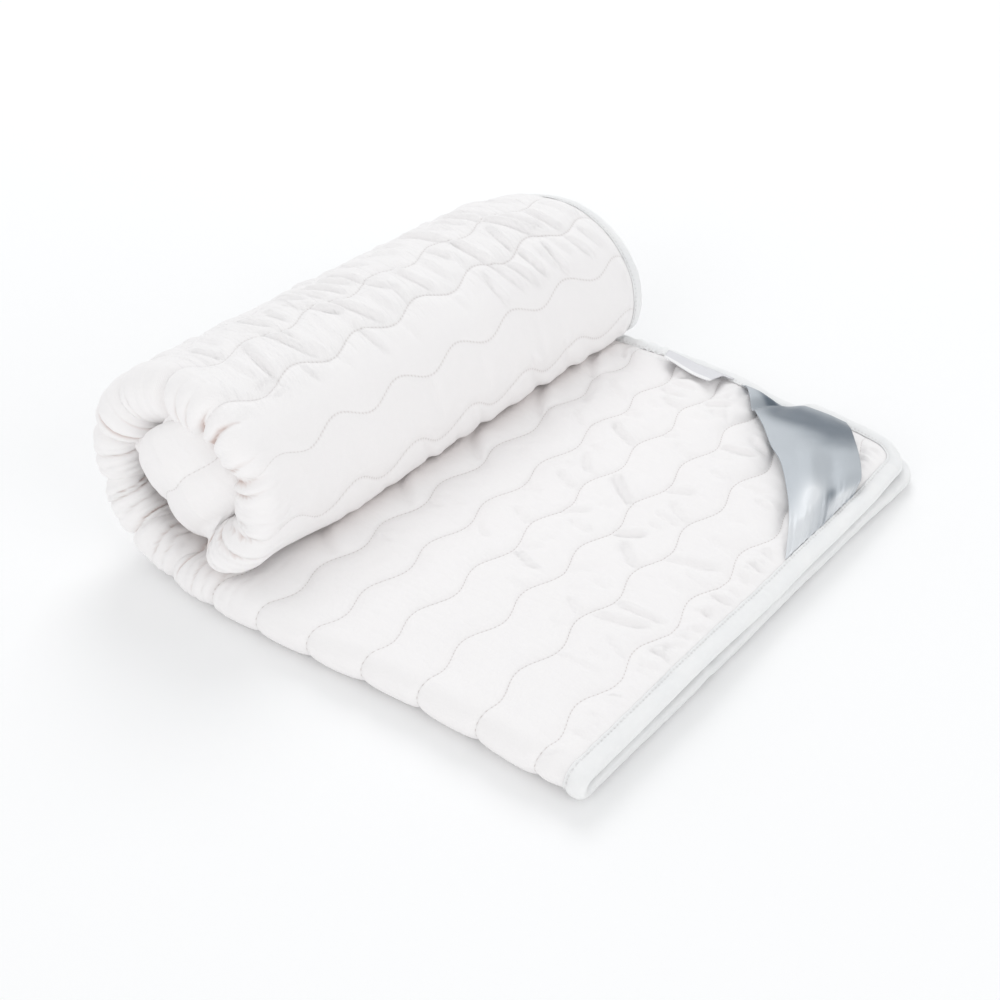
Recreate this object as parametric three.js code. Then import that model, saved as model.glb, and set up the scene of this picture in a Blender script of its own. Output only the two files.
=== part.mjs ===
// A quilted mattress pad, folded once along its length and rolled up from one short end.
// Millimetres, +Z up, +X from the roll towards the free end, +Y along the roll from the fold
// to the bound long edges. The origin is under the middle of the footprint.

import * as THREE from 'three';

// The mat as it was cut: half of its width lies on each side of the fold.
const HALF_WIDTH = 450;
const LAYER_RISE = 8;
const CORNER_RADIUS = 30;

// Half thickness of one layer, measured from its own middle surface.
const CROWN_OUT = 8;
const CROWN_IN = 6.4;
const SEAM_HALF = 2.4;
const SHOULDER = 8;
const EDGE_HALF = 3;

// The sewn lines run from long edge to long edge. Each is given by its distance from the free
// end; they lie closer where the roll's top is pulled tight.
const SEAMS = [
  38, 84, 130, 173, 216, 259, 303, 347, 391, 434, 477, 518, 555, 589, 626, 667, 706, 745, 784, 822,
];

// The edge tape and the flat strip of mat that it covers.
const TAPE_WIDTH = 14.6;
const TAPE_THICK = 1.2;
const TAPE_GAP = 0.5;
const TAPE_MARGIN = 1.8;
const FLAT_STRIP = 18.2;
const EDGE_RISE = 18;

// Anything this close to the floor is pressed flat on it.
const FLOOR_SETTLE = 0.4;

// The folded mat's route from its free end, over the floor, up round the back of the roll, down
// its front and in to the core. x and z are the middle of the folded pair, thick is its height,
// fold is the y of its folded edge and far the y of the long edges opposite.
const ROUTE = [
  { x: 0, z: 14, fold: -39, far: 414, thick: 28 },
  { x: -60, z: 16, fold: -38, far: 415, thick: 32 },
  { x: -130, z: 16, fold: -40, far: 415, thick: 32 },
  { x: -200, z: 16, fold: -47, far: 416, thick: 32 },
  { x: -262, z: 15, fold: -53, far: 417, thick: 30 },
  { x: -312, z: 13.5, fold: -54, far: 417, thick: 27 },
  { x: -356, z: 14.5, fold: -52, far: 417, thick: 28 },
  { x: -392, z: 30, fold: -50, far: 417, thick: 30 },
  { x: -415, z: 60, fold: -46, far: 414, thick: 32 },
  { x: -421, z: 98, fold: -38, far: 409, thick: 33 },
  { x: -405, z: 126, fold: -26, far: 406, thick: 33 },
  { x: -371, z: 139, fold: -18, far: 405, thick: 33 },
  { x: -335, z: 135, fold: -18, far: 406, thick: 33 },
  { x: -307, z: 115, fold: -26, far: 411, thick: 32 },
  { x: -295, z: 87, fold: -30, far: 416, thick: 30 },
  { x: -295, z: 62, fold: -38, far: 416, thick: 27 },
  { x: -306, z: 45, fold: -48, far: 416, thick: 24 },
  { x: -328, z: 40, fold: -54, far: 415, thick: 24 },
  { x: -350, z: 48, fold: -54, far: 414, thick: 25 },
  { x: -363, z: 68, fold: -46, far: 414, thick: 24 },
  { x: -363, z: 86, fold: -41, far: 414, thick: 22 },
  { x: -358, z: 98, fold: -37, far: 414, thick: 20 },
  { x: -346, z: 104, fold: -34, far: 414, thick: 19 },
  { x: -334.5, z: 99, fold: -32, far: 414, thick: 19 },
  { x: -329.5, z: 88, fold: -31, far: 414, thick: 20 },
  { x: -329, z: 78, fold: -30, far: 414, thick: 20 },
  { x: -329, z: 54, fold: -30, far: 414, thick: 20 },
];
const FULL_THICK = 32;

// The bound end of the roll is drawn in, towards the line where the roll meets the flat part.
const DRAWN_IN = { amount: 0.13, from: 300, to: 412, x: -300, z: 28, lead: 90, startRow: 6 };

// The tightly curled inner part of the roll.
const CORE_LENGTH = 190;

// Stations along the mat: shares of a channel's width, finer in the tightly curled core, and
// degrees round the mat's corners.
const CHANNEL_SHARES = [0, 0.19, 0.5, 0.81];
const CORE_SHARES = [0, 0.2, 0.4, 0.6, 0.8];
const CORNER_DEGREES = [0, 18, 36, 54, 72, 90];
const LEAST_STEP = 3;

// Lines along the mat's length on either side of the fold line: distance from it, nearest first.
const FOLD_LINES = [6.5, 14];
const MID_LINES = [300, 356];

// The satin band across the far corner of the upper layer, from the tape on the long edge to the
// tape on the free end. Reach is from the free end and inward is from the long edge; the inner
// side faces the roll and the outer side the corner.
const BAND = {
  thick: 0.9,
  lift: 7,
  slope: 0.4,
  bow: 9,
  far: { inner: { reach: 150, inward: 16.8 }, outer: { reach: 63, inward: 16.8 } },
  near: { inner: { reach: 16.8, inward: 190 }, outer: { reach: 16.8, inward: 81 } },
  along: [0, 0.1, 0.22, 0.36, 0.5, 0.64, 0.78, 0.9, 1],
  across: [0, 0.25, 0.5, 0.75, 1],
};

// The care label: sewn in at the far long edge, it rises from the tape and lies in over the mat.
// Each row gives the distance from the long edge and the height over the layer's middle surface.
const LABEL = {
  thick: 0.8,
  from: 172,
  to: 232,
  profile: [
    { inward: 16.8, height: 3.8 },
    { inward: 21.5, height: 9.4 },
    { inward: 27, height: 12.2 },
    { inward: 35, height: 13.2 },
    { inward: 44.5, height: 12.6 },
  ],
  steps: [0, 0.25, 0.5, 0.75, 1],
};

const PAD_WHITE = { color: 0xf1eeee, roughness: 0.9, metalness: 0 };
const TAPE_WHITE = { color: 0xf4f6f6, roughness: 0.75, metalness: 0 };
const SATIN_GREY = { color: 0xb9c0c6, roughness: 0.35, metalness: 0.1 };
const LABEL_WHITE = { color: 0xf3f3f4, roughness: 0.6, metalness: 0 };

function clamp01(t) {
  return Math.min(1, Math.max(0, t));
}

function smooth(t) {
  const c = clamp01(t);
  return c * c * (3 - 2 * c);
}

// Slope of a column at each row of the route, weighted by the distances to its neighbours.
function slopes(knots, values) {
  return values.map((value, i) => {
    if (i === 0) {
      return (values[1] - value) / (knots[1] - knots[0]);
    }
    if (i === values.length - 1) {
      return (value - values[i - 1]) / (knots[i] - knots[i - 1]);
    }
    const before = knots[i] - knots[i - 1];
    const after = knots[i + 1] - knots[i];
    const slopeBefore = (value - values[i - 1]) / before;
    const slopeAfter = (values[i + 1] - value) / after;
    return (slopeBefore * after + slopeAfter * before) / (before + after);
  });
}

function hermite(knots, values, gradients, i, t) {
  const span = knots[i + 1] - knots[i];
  const t2 = t * t;
  const t3 = t2 * t;
  return (
    (2 * t3 - 3 * t2 + 1) * values[i] +
    (t3 - 2 * t2 + t) * span * gradients[i] +
    (3 * t2 - 2 * t3) * values[i + 1] +
    (t3 - t2) * span * gradients[i + 1]
  );
}

// The route as closely spaced samples with the distance walked along it.
function sampleRoute(rows, stepsPerRow) {
  const knots = [0];
  for (let i = 1; i < rows.length; i += 1) {
    knots.push(knots[i - 1] + Math.hypot(rows[i].x - rows[i - 1].x, rows[i].z - rows[i - 1].z));
  }
  const columns = ['x', 'z', 'fold', 'far', 'thick'];
  const tables = columns.map((name) => rows.map((row) => row[name]));
  const gradients = tables.map((values) => slopes(knots, values));
  const samples = [];
  for (let i = 0; i < rows.length - 1; i += 1) {
    for (let k = 0; k < stepsPerRow; k += 1) {
      const t = k / stepsPerRow;
      samples.push(tables.map((values, column) => hermite(knots, values, gradients[column], i, t)));
    }
  }
  samples.push(tables.map((values) => values[values.length - 1]));
  let walked = 0;
  return samples.map(([x, z, fold, far, thick], i) => {
    if (i > 0) {
      walked += Math.hypot(x - samples[i - 1][0], z - samples[i - 1][1]);
    }
    const a = samples[Math.max(i - 1, 0)];
    const b = samples[Math.min(i + 1, samples.length - 1)];
    const length = Math.hypot(b[0] - a[0], b[1] - a[1]);
    const nx = (b[1] - a[1]) / length;
    const nz = (a[0] - b[0]) / length;
    return { s: walked, x, z, fold, far, thick, nx, nz };
  });
}

const STEPS_PER_ROW = 60;
const samples = sampleRoute(ROUTE, STEPS_PER_ROW);
const LENGTH = samples[samples.length - 1].s;
const RISE_START = samples[DRAWN_IN.startRow * STEPS_PER_ROW].s;

// The route at a distance s from the free end; a little way past either end it runs on straight.
function routeAt(s) {
  let low = 0;
  let high = samples.length - 1;
  while (high - low > 1) {
    const middle = (low + high) >> 1;
    if (samples[middle].s <= s) {
      low = middle;
    } else {
      high = middle;
    }
  }
  const a = samples[low];
  const b = samples[high];
  const t = (s - a.s) / (b.s - a.s);
  const mix = (name) => a[name] + (b[name] - a[name]) * t;
  const side = Math.hypot(mix('nx'), mix('nz'));
  return {
    x: mix('x'),
    z: mix('z'),
    fold: mix('fold'),
    far: mix('far'),
    squeeze: mix('thick') / FULL_THICK,
    nx: mix('nx') / side,
    nz: mix('nz') / side,
  };
}

// Where a point of the mat lies. s is the distance from the free end, u the distance from the fold
// with the layer that lies uppermost on the flat part negative, and h the height over the layer's
// middle surface, outwards positive.
function place(s, u, h) {
  const route = routeAt(s);
  const quarter = (LAYER_RISE * Math.PI) / 2;
  const angle = Math.max(-Math.PI / 2, Math.min(Math.PI / 2, u / LAYER_RISE));
  const beyond = Math.max(Math.abs(u) - quarter, 0) / (HALF_WIDTH - quarter);
  const bend = route.fold + LAYER_RISE;
  const y = bend - (LAYER_RISE + h) * Math.cos(angle) + (route.far - bend) * beyond;
  const offset = -(LAYER_RISE + h) * Math.sin(angle) * route.squeeze;
  const drawn = clamp01((y - DRAWN_IN.from) / (DRAWN_IN.to - DRAWN_IN.from)) ** 2;
  const shrink = 1 - DRAWN_IN.amount * smooth((s - RISE_START) / DRAWN_IN.lead) * drawn;
  const x = DRAWN_IN.x + (route.x + offset * route.nx - DRAWN_IN.x) * shrink;
  const z = DRAWN_IN.z + (route.z + offset * route.nz - DRAWN_IN.z) * shrink;
  return new THREE.Vector3(x, y, z < FLOOR_SETTLE ? 0 : z);
}

// Rounded corners: the half width that is left at a distance from the nearer short end.
function halfWidthAt(s) {
  const fromEnd = Math.min(s, LENGTH - s) - TAPE_MARGIN;
  const full = HALF_WIDTH - TAPE_MARGIN;
  if (fromEnd >= CORNER_RADIUS) {
    return full;
  }
  const across = CORNER_RADIUS - fromEnd;
  return full - CORNER_RADIUS + Math.sqrt(Math.max(CORNER_RADIUS ** 2 - across ** 2, 0));
}

// Distance from a point of the mat to its nearest edge.
function edgeDistance(s, u) {
  const fromEnd = Math.min(s, LENGTH - s) - TAPE_MARGIN;
  const fromSide = HALF_WIDTH - TAPE_MARGIN - Math.abs(u);
  if (fromEnd >= CORNER_RADIUS || fromSide >= CORNER_RADIUS) {
    return Math.min(fromEnd, fromSide);
  }
  return CORNER_RADIUS - Math.hypot(CORNER_RADIUS - fromEnd, CORNER_RADIUS - fromSide);
}

// How full the quilting is: 0 on a seam and along the edges, 1 on the crown of a channel.
function fullness(s, u) {
  const seamDistance = Math.min(...SEAMS.map((seam) => Math.abs(s - seam)));
  const inside = clamp01((edgeDistance(s, u) - FLAT_STRIP) / EDGE_RISE);
  return clamp01(seamDistance / SHOULDER) * inside;
}

function halfThickness(s, u, crown) {
  const inside = clamp01((edgeDistance(s, u) - FLAT_STRIP) / EDGE_RISE);
  const seam = EDGE_HALF + (SEAM_HALF - EDGE_HALF) * inside;
  return seam + (crown - seam) * fullness(s, u);
}

// Stations along the mat: the rounded ends, and in each channel its seam, shoulders and crown.
function padStations() {
  const cornerAngles = CORNER_DEGREES.map((degrees) => THREE.MathUtils.degToRad(degrees));
  const ends = cornerAngles.map((angle) => TAPE_MARGIN + CORNER_RADIUS * (1 - Math.cos(angle)));
  const lastInner = LENGTH - ends[ends.length - 1];
  const stations = [...ends];
  SEAMS.forEach((seam, i) => {
    const next = SEAMS[i + 1] ?? LENGTH;
    const shares = seam < LENGTH - CORE_LENGTH ? CHANNEL_SHARES : CORE_SHARES;
    const inChannel = shares.map((share) => seam + share * (next - seam));
    stations.push(...inChannel.filter((s) => s < lastInner - LEAST_STEP));
  });
  ends.reverse().forEach((end) => stations.push(LENGTH - end));
  return stations;
}

function padLines(s) {
  const edge = halfWidthAt(s);
  const half = [...FOLD_LINES, ...MID_LINES, edge - FLAT_STRIP - EDGE_RISE, edge - FLAT_STRIP, edge];
  return [...half.map((u) => -u).reverse(), 0, ...half];
}

// A solid skinned over rings of equal length. Each ring runs along its front and back again, so
// that the two ends can be closed by strips; a looped solid joins its last ring to its first.
function skin(rings, looped) {
  const size = rings[0].length;
  const points = rings.flat();
  const faces = [];
  const quad = (a, b, c, d) => faces.push(a, b, c, a, c, d);
  const spans = looped ? rings.length : rings.length - 1;
  for (let i = 0; i < spans; i += 1) {
    const next = ((i + 1) % rings.length) * size;
    for (let j = 0; j < size; j += 1) {
      const k = (j + 1) % size;
      quad(i * size + j, i * size + k, next + k, next + j);
    }
  }
  if (!looped) {
    const last = (rings.length - 1) * size;
    for (let j = 0; j < size / 2 - 1; j += 1) {
      const k = size - 1 - j;
      quad(j, k, k - 1, j + 1);
      quad(last + j, last + j + 1, last + k - 1, last + k);
    }
  }
  return outward(points, faces);
}

function outward(points, faces) {
  let volume = 0;
  for (let i = 0; i < faces.length; i += 3) {
    const [a, b, c] = [points[faces[i]], points[faces[i + 1]], points[faces[i + 2]]];
    volume += a.dot(new THREE.Vector3().crossVectors(b, c));
  }
  if (volume < 0) {
    faces.reverse();
  }
  const geometry = new THREE.BufferGeometry();
  geometry.setAttribute('position', new THREE.Float32BufferAttribute(points.flatMap((p) => p.toArray()), 3));
  geometry.setIndex(faces);
  geometry.computeVertexNormals();
  return geometry;
}

// The filled pad: one closed skin with its face cloth outside and its back cloth between the layers.
function padGeometry() {
  const rings = padStations().map((s) => {
    const lines = padLines(s);
    const face = lines.map((u) => place(s, u, halfThickness(s, u, CROWN_OUT)));
    const back = lines.map((u) => place(s, u, -halfThickness(s, u, CROWN_IN)));
    return [...face, ...back.reverse()];
  });
  return skin(rings, false);
}

// The pad's outline as a closed list of points on the mat, with the outward direction at each.
function padOutline() {
  const stations = padStations();
  const first = stations[0];
  const last = stations[stations.length - 1];
  const between = stations.slice(1, -1);
  const outline = [
    ...padLines(first).map((u) => ({ s: first, u })),
    ...between.map((s) => ({ s, u: halfWidthAt(s) })),
    ...padLines(last).reverse().map((u) => ({ s: last, u })),
    ...between.reverse().map((s) => ({ s, u: -halfWidthAt(s) })),
  ];
  return outline.map((point, i) => ({ ...point, ...outwardAt(outline, i) }));
}

function outwardAt(outline, i) {
  const point = outline[i];
  const inset = TAPE_MARGIN + CORNER_RADIUS;
  const middleS = Math.min(Math.max(point.s, inset), LENGTH - inset);
  const limit = HALF_WIDTH - inset;
  const middleU = Math.min(Math.max(point.u, -limit), limit);
  const ds = point.s - middleS;
  const du = point.u - middleU;
  const length = Math.hypot(ds, du);
  return { outS: ds / length, outU: du / length };
}

// The edge tape: a folded strip that wraps the pad's edge all the way round.
function tapeGeometry() {
  const inside = EDGE_HALF + TAPE_GAP;
  const outside = inside + TAPE_THICK;
  const lip = TAPE_MARGIN - TAPE_GAP;
  const section = [
    { out: -TAPE_WIDTH, h: outside },
    { out: 0, h: outside },
    { out: lip, h: outside / 2 },
    { out: lip, h: -outside / 2 },
    { out: 0, h: -outside },
    { out: -TAPE_WIDTH, h: -outside },
    { out: -TAPE_WIDTH, h: -inside },
    { out: TAPE_GAP, h: -inside },
    { out: TAPE_GAP, h: inside },
    { out: -TAPE_WIDTH, h: inside },
  ];
  const rings = padOutline().map(({ s, u, outS, outU }) =>
    section.map(({ out, h }) => place(s + out * outS, u + out * outU, h)),
  );
  return skin(rings, true);
}

// The corner band: a thin sheet that bridges the corner and stands clear of the quilting.
function bandGeometry() {
  const mix = (a, b, t) => a + (b - a) * t;
  const rings = BAND.along.map((t) => {
    const arch = Math.sin(Math.PI * t);
    const base = t === 0 || t === 1 ? EDGE_HALF + TAPE_GAP + BAND.thick / 2 : CROWN_OUT + BAND.thick;
    const at = (share, side) => {
      const across = (end, name) => mix(end.inner[name], end.outer[name], share);
      const reach = mix(across(BAND.far, 'reach'), across(BAND.near, 'reach'), t) - BAND.bow * arch;
      const inward = mix(across(BAND.far, 'inward'), across(BAND.near, 'inward'), t) - BAND.bow * arch;
      const lift = BAND.lift * arch * (1 - BAND.slope * share);
      return place(reach, inward - HALF_WIDTH, base + lift + (side * BAND.thick) / 2);
    };
    const top = BAND.across.map((share) => at(share, 1));
    const under = BAND.across.map((share) => at(share, -1));
    return [...top, ...under.reverse()];
  });
  return skin(rings, false);
}

// The care label: a thin sheet sewn in at the long edge, its free side raised.
function labelGeometry() {
  const rings = LABEL.steps.map((share) => {
    const at = ({ inward, height }, side) => {
      const s = LABEL.from + (LABEL.to - LABEL.from) * share;
      return place(s, inward - HALF_WIDTH, height + (side * LABEL.thick) / 2);
    };
    const top = LABEL.profile.map((row) => at(row, 1));
    const under = LABEL.profile.map((row) => at(row, -1));
    return [...top, ...under.reverse()];
  });
  return skin(rings, false);
}

function piece(name, geometry, look) {
  const mesh = new THREE.Mesh(geometry, new THREE.MeshStandardMaterial(look));
  mesh.name = name;
  return mesh;
}

const group = new THREE.Group();
group.add(piece('pad', padGeometry(), PAD_WHITE));
group.add(piece('binding', tapeGeometry(), TAPE_WHITE));
group.add(piece('corner_band', bandGeometry(), SATIN_GREY));
group.add(piece('care_label', labelGeometry(), LABEL_WHITE));

// The origin goes under the middle of the footprint, on the floor.
const footprint = new THREE.Box3().setFromObject(group);
const middle = footprint.getCenter(new THREE.Vector3());
group.position.set(-middle.x, -middle.y, -footprint.min.z);

export default group;
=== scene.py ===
"""A quilted mattress pad, folded along its length and rolled up from one short end.

The CAD solids give the folded and rolled form. Here the pad gets its wavy sewn channels, puckers,
gathers and stitches, and the tape, band and label their cloth. Work is in millimetres in the
pad's own frame, and becomes metres in the shared frame when a mesh is made.

A place on the mat is s, u and h: the distance from the free end that lies flat, the distance from the
fold, which is negative on the layer above and inside, and the height over the layer's middle surface.
"""

import math

import bmesh
import bpy
import numpy as np
from mathutils import Matrix, Vector


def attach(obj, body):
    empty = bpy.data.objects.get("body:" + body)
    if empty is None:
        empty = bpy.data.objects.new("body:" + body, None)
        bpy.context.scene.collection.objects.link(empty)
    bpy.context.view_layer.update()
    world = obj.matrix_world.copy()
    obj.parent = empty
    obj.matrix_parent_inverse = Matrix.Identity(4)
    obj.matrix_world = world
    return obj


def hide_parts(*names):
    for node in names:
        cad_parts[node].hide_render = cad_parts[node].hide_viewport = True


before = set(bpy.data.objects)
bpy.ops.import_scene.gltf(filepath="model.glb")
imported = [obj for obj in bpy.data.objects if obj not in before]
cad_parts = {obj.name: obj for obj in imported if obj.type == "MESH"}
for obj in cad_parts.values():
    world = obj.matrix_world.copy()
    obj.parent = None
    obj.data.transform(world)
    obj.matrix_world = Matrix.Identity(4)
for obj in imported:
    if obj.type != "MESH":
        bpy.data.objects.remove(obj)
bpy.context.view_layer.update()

# The mat, as in the CAD source. LAYER_RISE: from the middle of the folded pair to that of a layer, where the
# pair is FULL_THICK high. TAPE_MARGIN: tape beyond the pad's edge. FLAT_STRIP: unquilted strip beside it
HALF_WIDTH = 450.0
LAYER_RISE = 8.0
FULL_THICK = 32.0
CORNER_RADIUS = 30.0
TAPE_MARGIN = 1.8
FLAT_STRIP = 18.2

# x, z: middle of the folded pair. fold, far: y of the folded edge and of the long edges.
# thick: the pair's height
ROUTE = np.array([
    (0, 14, -39, 414, 28), (-60, 16, -38, 415, 32), (-130, 16, -40, 415, 32),
    (-200, 16, -47, 416, 32), (-262, 15, -53, 417, 30), (-312, 13.5, -54, 417, 27),
    (-356, 14.5, -52, 417, 28), (-392, 30, -50, 417, 30), (-415, 60, -46, 414, 32),
    (-421, 98, -38, 409, 33), (-405, 126, -26, 406, 33), (-371, 139, -18, 405, 33),
    (-335, 135, -18, 406, 33), (-307, 115, -26, 411, 32), (-295, 87, -30, 416, 30),
    (-295, 62, -38, 416, 27), (-306, 45, -48, 416, 24), (-328, 40, -54, 415, 24),
    (-350, 48, -54, 414, 25), (-363, 68, -46, 414, 24), (-363, 86, -41, 414, 22),
    (-358, 98, -37, 414, 20), (-346, 104, -34, 414, 19), (-334.5, 99, -32, 414, 19),
    (-329.5, 88, -31, 414, 20), (-329, 78, -30, 414, 20), (-329, 54, -30, 414, 20)], float)
STEPS_PER_ROW = 60
# From a row of the route on, the roll is drawn in towards x, z: in full at y = end, not at all at y = start
DRAWN_IN = dict(amount=0.13, start=300.0, end=412.0, x=-300.0, z=28.0, lead=90.0, row=6)

# Where the sewn lines are, and how far they swing from side to side
SEAMS = np.array([38, 84, 130, 173, 216, 259, 303, 347, 391, 434, 477, 518, 555, 589, 626, 667,
                  706, 745, 784, 822], float)
WAVE = 4.5
# y of the middle of each falling part of the waves, on the upper layer and on the roll's skin
FALLS_TOP = np.array([-169, -105, -41, 23, 87, 152, 219, 288, 349, 412, 475], float)
FALLS_ROLL = np.array([-156, -92, -28, 39, 103, 168, 234, 301, 370, 436, 500], float)

# Creases that the cloth shows, each a soft trough with a ridge beside it: s and y where it starts and where
# it ends, and its width and depth in tenths of a millimetre. On the flat part's upper layer:
CREASES_TOP = np.array([
    (20, 64, 34, 61, 26, 5), (14, 76, 36, 78, 22, 9), (18, 93, 41, 79, 30, 8), (14, 108, 33, 97, 28, 6),
    (15, 119, 33, 103, 26, 8), (17, 127, 29, 132, 26, 5), (16, 152, 35, 149, 24, 7),
    (15, 162, 25, 163, 22, 5), (22, 178, 35, 183, 26, 5), (15, 197, 34, 197, 22, 8),
    (15, 209, 33, 215, 24, 6), (46, 35, 78, 33, 30, 5), (42, 58, 62, 64, 28, 6), (46, 90, 81, 78, 34, 11),
    (41, 100, 78, 98, 26, 9), (50, 48, 62, 46, 50, 5), (42, 172, 79, 158, 42, 11),
    (40, 151, 57, 153, 30, 5), (50, 135, 70, 139, 50, 5), (48, 196, 64, 194, 65, 6),
    (52, 230, 74, 226, 65, 6), (50, 257, 66, 261, 30, 9), (62, 274, 84, 271, 40, 7),
    (91, 138, 113, 155, 32, 9), (103, 172, 124, 161, 30, 13), (98, 185, 109, 186, 34, 7),
    (93, 197, 113, 200, 30, 7), (91, 204, 113, 217, 30, 6), (103, 237, 123, 230, 34, 10),
    (108, 124, 125, 104, 50, 7), (90, 74, 105, 81, 30, 6), (93, 55, 101, 56, 34, 5),
    (102, 91, 112, 93, 40, 5), (90, 106, 103, 107, 34, 5), (96, 268, 110, 270, 34, 7),
    (94, 309, 123, 304, 32, 13), (89, 318, 110, 329, 34, 8), (106, 292, 121, 290, 40, 6),
    (138, 91, 167, 101, 20, 7), (151, 116, 166, 103, 40, 7), (138, 150, 156, 152, 38, 7),
    (151, 172, 170, 159, 34, 10), (135, 197, 165, 219, 32, 13), (138, 71, 148, 73, 40, 5),
    (143, 183, 152, 184, 50, 5), (150, 131, 157, 118, 40, 5), (136, 277, 153, 286, 40, 6),
    (157, 296, 168, 294, 40, 7), (137, 339, 147, 351, 30, 7), (145, 340, 156, 342, 40, 8),
    (147, 361, 167, 349, 34, 11), (154, 374, 165, 359, 30, 8), (150, 328, 163, 327, 50, 5),
    (179, 131, 196, 138, 34, 7), (190, 97, 204, 108, 26, 5), (179, 187, 200, 196, 32, 9),
    (185, 211, 200, 231, 34, 8), (190, 240, 203, 242, 34, 6), (195, 168, 209, 164, 46, 7),
    (198, 211, 210, 210, 50, 6), (180, 265, 207, 277, 30, 12), (181, 331, 198, 336, 30, 10),
    (191, 320, 204, 325, 40, 6), (186, 345, 209, 350, 36, 10), (182, 363, 203, 362, 40, 9),
    (198, 379, 206, 373, 36, 8), (196, 297, 210, 301, 45, 6), (221, 262, 241, 273, 34, 8),
    (221, 317, 247, 329, 50, 9), (241, 290, 252, 305, 40, 8), (226, 200, 246, 206, 50, 6),
    (228, 120, 250, 124, 50, 5), (240, 53, 252, 56, 30, 6), (240, 108, 252, 109, 30, 6),
    (262, 175, 292, 205, 60, 12), (262, 255, 290, 290, 60, 12), (264, 330, 286, 362, 50, 11),
    (262, 96, 294, 120, 60, 9), (264, 374, 276, 402, 36, 12), (266, 20, 294, 36, 60, 8)], float)
# On the roll's skin:
CREASES_ROLL = np.array([
    (537, 10, 556, 16, 22, 10), (527, 27, 543, 24, 30, 7), (530, 44, 546, 52, 32, 6),
    (533, 61, 550, 66, 24, 10), (536, 81, 551, 79, 22, 10), (538, 96, 550, 102, 24, 10),
    (524, 104, 540, 110, 30, 11), (531, 114, 548, 121, 24, 10), (525, 128, 552, 135, 26, 12),
    (530, 140, 550, 147, 26, 12), (529, 151, 553, 159, 28, 13), (524, 172, 536, 179, 30, 9),
    (526, 200, 543, 208, 30, 8), (526, 219, 536, 222, 34, 7), (521, 241, 553, 251, 28, 14),
    (534, 263, 546, 267, 32, 7), (524, 277, 548, 281, 28, 10), (526, 288, 553, 300, 28, 14),
    (529, 299, 551, 311, 28, 9), (530, 336, 548, 344, 32, 8), (555, 36, 590, 29, 30, 13),
    (558, 13, 580, 17, 34, 6), (555, 55, 589, 71, 28, 13), (562, 66, 588, 75, 26, 10),
    (551, 107, 568, 114, 24, 13), (556, 120, 586, 135, 28, 12), (566, 95, 584, 92, 40, 6),
    (555, 159, 568, 165, 24, 12), (572, 171, 586, 168, 22, 8), (560, 186, 583, 194, 28, 11),
    (566, 148, 584, 152, 36, 7), (563, 212, 584, 216, 34, 8), (555, 230, 571, 234, 26, 10),
    (560, 253, 588, 259, 28, 14), (572, 240, 584, 238, 30, 6), (564, 292, 586, 286, 26, 13),
    (556, 300, 588, 325, 28, 16), (560, 315, 582, 331, 28, 10), (565, 338, 588, 346, 26, 13),
    (560, 362, 580, 372, 32, 7), (585, 118, 603, 119, 22, 9), (588, 18, 594, 18, 16, 7),
    (588, 22, 595, 23, 16, 6), (588, 27, 596, 28, 16, 7), (590, 55, 598, 58, 20, 7),
    (590, 86, 600, 88, 24, 5), (596, 244, 617, 249, 24, 11), (591, 259, 613, 272, 26, 12),
    (594, 272, 616, 290, 26, 12), (591, 294, 611, 299, 22, 14), (600, 310, 612, 315, 30, 6),
    (600, 318, 618, 324, 22, 12), (594, 329, 606, 336, 30, 7), (598, 345, 614, 357, 26, 10),
    (596, 364, 612, 375, 26, 9), (602, 388, 616, 396, 26, 8), (592, 152, 606, 153, 30, 5),
    (592, 205, 606, 209, 32, 5), (630, 380, 648, 392, 30, 6), (636, 205, 656, 208, 50, 3),
    (634, 276, 660, 278, 50, 3), (630, 150, 656, 153, 50, 3), (669, 132, 699, 162, 42, 23),
    (674, 170, 694, 192, 40, 16), (666, 189, 678, 194, 32, 12), (673, 197, 697, 224, 44, 23),
    (665, 261, 698, 301, 46, 27), (668, 304, 697, 342, 46, 23), (674, 333, 698, 372, 46, 12),
    (674, 48, 700, 64, 50, 10), (676, 90, 700, 112, 50, 12), (670, 232, 694, 252, 50, 10),
    (674, 376, 696, 398, 44, 16)], float)
# The creases are a little narrower than they were drawn, and those on the roll a little longer
CREASES_TOP *= (1, 1, 1, 1, 0.085, 0.1)
CREASES_ROLL += (-3, -1, 3, 1, 0, 0)
CREASES_ROLL *= (1, 1, 1, 1, 0.082, 0.1)
# Places where the cloth is gathered at the folded edge of the roll
GATHERS = np.array([
    230, 248, 262, 275, 286, 296, 307, 315, 326, 334, 343, 354, 361, 371, 377, 386, 392, 399, 408, 413,
    421, 426, 435, 442, 448, 457, 463, 473, 486, 497, 511, 525, 534, 548, 563, 571, 584, 600, 611, 622,
    634, 641, 648, 652, 658, 662, 669, 673, 680, 685, 690, 697, 703, 712, 745, 784, 820, 865], float)

# The inner turn, from start to end, makes a soft dome that fills the middle of the roll. x, z: its middle.
# up, wide: half its size in the two directions below. base, deep: y of its rim, and how far it stands out
DOME = dict(x=-349.5, z=87.0, start=706.0, end=806.0, up=40.0, wide=39.0, deep=24.0, base=-22.0,
            reach=46.0, tilt=0.5, crown=7.0, spread=0.7, drawn_back=34.0)
DOME_UP = (-0.69, 0.72)
DOME_SIDE = (0.72, 0.69)
DOME_SEAM_ROW = 17

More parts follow.
